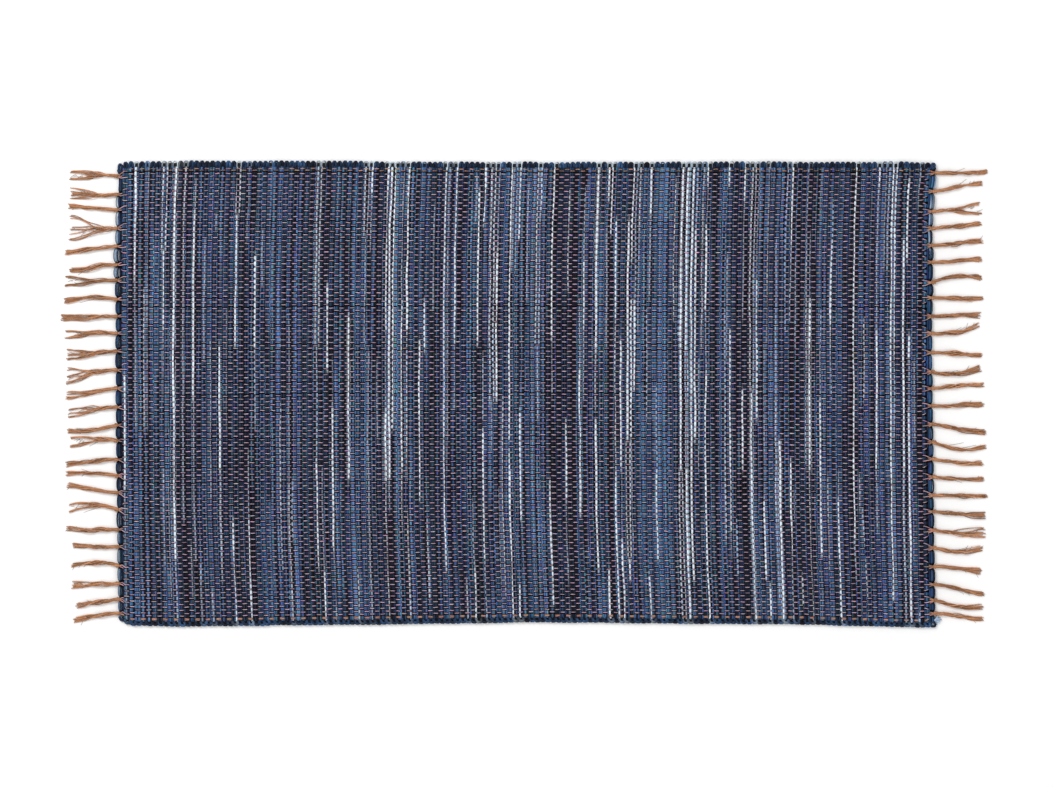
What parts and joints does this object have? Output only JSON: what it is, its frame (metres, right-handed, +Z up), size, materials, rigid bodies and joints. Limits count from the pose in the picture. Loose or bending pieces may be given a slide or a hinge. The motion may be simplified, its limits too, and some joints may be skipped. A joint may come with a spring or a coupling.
{
  "type": "woven rag rug",
  "caption": "Flat-woven cotton rag rug, ribbed indigo, black and pale blue weft on a copper warp, with knotted tassels along both short ends.",
  "frame": {"origin": "centre of the rug on its flat underside, where it lies on the floor", "axes": "+X along the long side of the rug, +Y across it, +Z up from the floor"},
  "size_m": [1.1986, 0.6034, 0.006],
  "materials": {
    "cloth": "matte bundled cotton weft, indigo, black and pale blue",
    "warp_yarn": "matte twisted copper-brown cotton yarn"
  },
  "bodies": {
    "root": {"woven_cloth": "cloth", "tassel_left_01": "warp_yarn", "tassel_left_02": "warp_yarn", "tassel_left_03": "warp_yarn", "tassel_left_04": "warp_yarn", "tassel_left_05": "warp_yarn", "tassel_left_06": "warp_yarn", "tassel_left_07": "warp_yarn", "tassel_left_08": "warp_yarn", "tassel_left_09": "warp_yarn", "tassel_left_10": "warp_yarn", "tassel_left_11": "warp_yarn", "tassel_left_12": "warp_yarn", "tassel_left_13": "warp_yarn", "tassel_left_14": "warp_yarn", "tassel_left_15": "warp_yarn", "tassel_left_16": "warp_yarn", "tassel_left_17": "warp_yarn", "tassel_left_18": "warp_yarn", "tassel_left_19": "warp_yarn", "tassel_left_20": "warp_yarn", "tassel_left_21": "warp_yarn", "tassel_left_22": "warp_yarn", "tassel_left_23": "warp_yarn", "tassel_left_24": "warp_yarn", "tassel_left_25": "warp_yarn", "tassel_left_26": "warp_yarn", "tassel_right_01": "warp_yarn", "tassel_right_02": "warp_yarn", "tassel_right_03": "warp_yarn", "tassel_right_04": "warp_yarn", "tassel_right_05": "warp_yarn", "tassel_right_06": "warp_yarn", "tassel_right_07": "warp_yarn", "tassel_right_08": "warp_yarn", "tassel_right_09": "warp_yarn", "tassel_right_10": "warp_yarn", "tassel_right_11": "warp_yarn", "tassel_right_12": "warp_yarn", "tassel_right_13": "warp_yarn", "tassel_right_14": "warp_yarn", "tassel_right_15": "warp_yarn", "tassel_right_16": "warp_yarn", "tassel_right_17": "warp_yarn", "tassel_right_18": "warp_yarn", "tassel_right_19": "warp_yarn", "tassel_right_20": "warp_yarn", "tassel_right_21": "warp_yarn", "tassel_right_22": "warp_yarn", "tassel_right_23": "warp_yarn", "tassel_right_24": "warp_yarn", "tassel_right_25": "warp_yarn", "tassel_right_26": "warp_yarn"}
  },
  "joints": []
}
